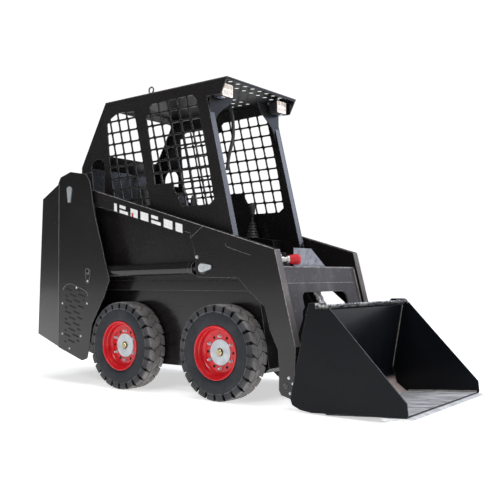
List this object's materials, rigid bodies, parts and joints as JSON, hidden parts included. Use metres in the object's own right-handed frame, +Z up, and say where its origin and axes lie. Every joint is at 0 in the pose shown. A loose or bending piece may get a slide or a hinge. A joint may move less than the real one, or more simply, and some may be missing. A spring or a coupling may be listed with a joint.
{
  "type": "compact skid steer loader",
  "caption": "Compact wheeled skid steer loader with lift arms, tilting bucket, guarded open cab and rear engine door.",
  "frame": {"origin": "on the ground, under the middle of the overall length and on the middle plane", "axes": "+X forward towards the bucket, +Y to the left, +Z up"},
  "size_m": [2.826, 0.946, 1.8953],
  "materials": {
    "black_paint": "gloss",
    "satin_black": "satin",
    "rim_red": "semi-gloss",
    "tyre_rubber": "matt",
    "zinc_plate": "satin zinc plate",
    "chrome_rod": "polished",
    "worn_steel": "bare, worn by soil",
    "seat_vinyl": "grained vinyl",
    "engine_casting": "painted casting",
    "cast_weight": "painted casting",
    "lamp_lens": "clear lens over a reflector",
    "grip_rubber": "moulded"
  },
  "bodies": {
    "chassis": {"chassis_tub": "black_paint", "side_rail_right": "satin_black", "side_rail_left": "satin_black", "tower_right": "black_paint", "tower_left": "black_paint", "arm_pin_right": "zinc_plate", "arm_pin_left": "zinc_plate", "axle_front": "engine_casting", "axle_rear": "engine_casting", "engine_block": "engine_casting", "engine_cover": "black_paint", "engine_bulkhead": "black_paint", "rear_frame": "black_paint", "counterweight": "cast_weight", "cab_side_right": "black_paint", "cab_side_left": "black_paint", "cab_roof": "black_paint", "cab_rear_panel": "black_paint", "foot_plate": "satin_black", "work_light_right": "lamp_lens", "work_light_left": "lamp_lens", "lifting_eye_right": "satin_black", "lifting_eye_left": "satin_black", "seat_base": "black_paint", "seat_cushion": "seat_vinyl", "seat_back": "seat_vinyl", "console_right": "black_paint", "console_left": "black_paint", "joystick_right": "grip_rubber", "joystick_left": "grip_rubber"},
    "rear_door": {"rear_door": "black_paint"},
    "lift_arms": {"lift_arm_right": "black_paint", "lift_arm_left": "black_paint", "arm_crossmember": "satin_black", "coupler_bracket": "zinc_plate", "hydraulic_coupler": "satin_black"},
    "bucket": {"bucket_shell": "black_paint", "cutting_edge": "worn_steel", "hitch_plate": "satin_black"},
    "wheel_front_right": {"tyre_front_right": "tyre_rubber", "wheel_rim_front_right": "rim_red"},
    "wheel_front_left": {"tyre_front_left": "tyre_rubber", "wheel_rim_front_left": "rim_red"},
    "wheel_rear_right": {"tyre_rear_right": "tyre_rubber", "wheel_rim_rear_right": "rim_red"},
    "wheel_rear_left": {"tyre_rear_left": "tyre_rubber", "wheel_rim_rear_left": "rim_red"},
    "lift_barrel_right": {"lift_right_barrel": "black_paint"},
    "lift_barrel_left": {"lift_left_barrel": "black_paint"},
    "lift_rod_right": {"lift_right_rod": "chrome_rod"},
    "lift_rod_left": {"lift_left_rod": "chrome_rod"},
    "tilt_barrel": {"tilt_barrel": "black_paint"},
    "tilt_rod": {"tilt_rod": "chrome_rod"}
  },
  "joints": [
    {"name": "wheel_front_right_spin", "type": "hinge", "parent": "chassis", "child": "wheel_front_right", "pos_m": [0.237, -0.399, 0.27], "axis": [0, 1, 0], "continuous": true},
    {"name": "wheel_front_left_spin", "type": "hinge", "parent": "chassis", "child": "wheel_front_left", "pos_m": [0.237, 0.399, 0.27], "axis": [0, 1, 0], "continuous": true},
    {"name": "wheel_rear_right_spin", "type": "hinge", "parent": "chassis", "child": "wheel_rear_right", "pos_m": [-0.533, -0.399, 0.27], "axis": [0, 1, 0], "continuous": true},
    {"name": "wheel_rear_left_spin", "type": "hinge", "parent": "chassis", "child": "wheel_rear_left", "pos_m": [-0.533, 0.399, 0.27], "axis": [0, 1, 0], "continuous": true},
    {"name": "lift", "type": "hinge", "parent": "chassis", "child": "lift_arms", "pos_m": [-1.013, 0, 1.27], "axis": [0, -1, 0], "range_deg": [0, 60]},
    {"name": "tilt", "type": "hinge", "parent": "lift_arms", "child": "bucket", "pos_m": [0.697, 0, 0.125], "axis": [0, 1, 0], "range_deg": [-20, 95]},
    {"name": "rear_door_hinge", "type": "hinge", "parent": "chassis", "child": "rear_door", "pos_m": [-1.34, 0.372, 0.83], "axis": [0, 0, -1], "range_deg": [0, 95]},
    {"name": "lift_barrel_right_swing", "type": "hinge", "parent": "chassis", "child": "lift_barrel_right", "pos_m": [-0.827, -0.4164, 0.728], "axis": [0, -1, 0], "range_deg": [0, 55.86]},
    {"name": "lift_rod_right_slide", "type": "slide", "parent": "lift_barrel_right", "child": "lift_rod_right", "axis": [0.9999, 0, 0.0146], "range_m": [0, 0.5663]},
    {"name": "lift_barrel_left_swing", "type": "hinge", "parent": "chassis", "child": "lift_barrel_left", "pos_m": [-0.827, 0.4164, 0.728], "axis": [0, -1, 0], "range_deg": [0, 55.86]},
    {"name": "lift_rod_left_slide", "type": "slide", "parent": "lift_barrel_left", "child": "lift_rod_left", "axis": [0.9999, 0, 0.0146], "range_m": [0, 0.5663]},
    {"name": "tilt_barrel_swing", "type": "hinge", "parent": "lift_arms", "child": "tilt_barrel", "pos_m": [0.507, 0, 0.69], "axis": [0, 1, 0], "range_deg": [-1, 3.43]},
    {"name": "tilt_rod_slide", "type": "slide", "parent": "tilt_barrel", "child": "tilt_rod", "axis": [0.5121, 0, -0.8589], "range_m": [-0.0497, 0.2346]}
  ],
  "couplings": [
    {"joint": "lift_barrel_right_swing", "follows": "lift", "ratio": 0.92593},
    {"joint": "lift_rod_right_slide", "follows": "lift", "m_per_rad": 0.53983},
    {"joint": "lift_barrel_left_swing", "follows": "lift", "ratio": 0.92593},
    {"joint": "lift_rod_left_slide", "follows": "lift", "m_per_rad": 0.53983},
    {"joint": "tilt_barrel_swing", "follows": "tilt", "ratio": 0.03295},
    {"joint": "tilt_rod_slide", "follows": "tilt", "m_per_rad": 0.14086}
  ]
}
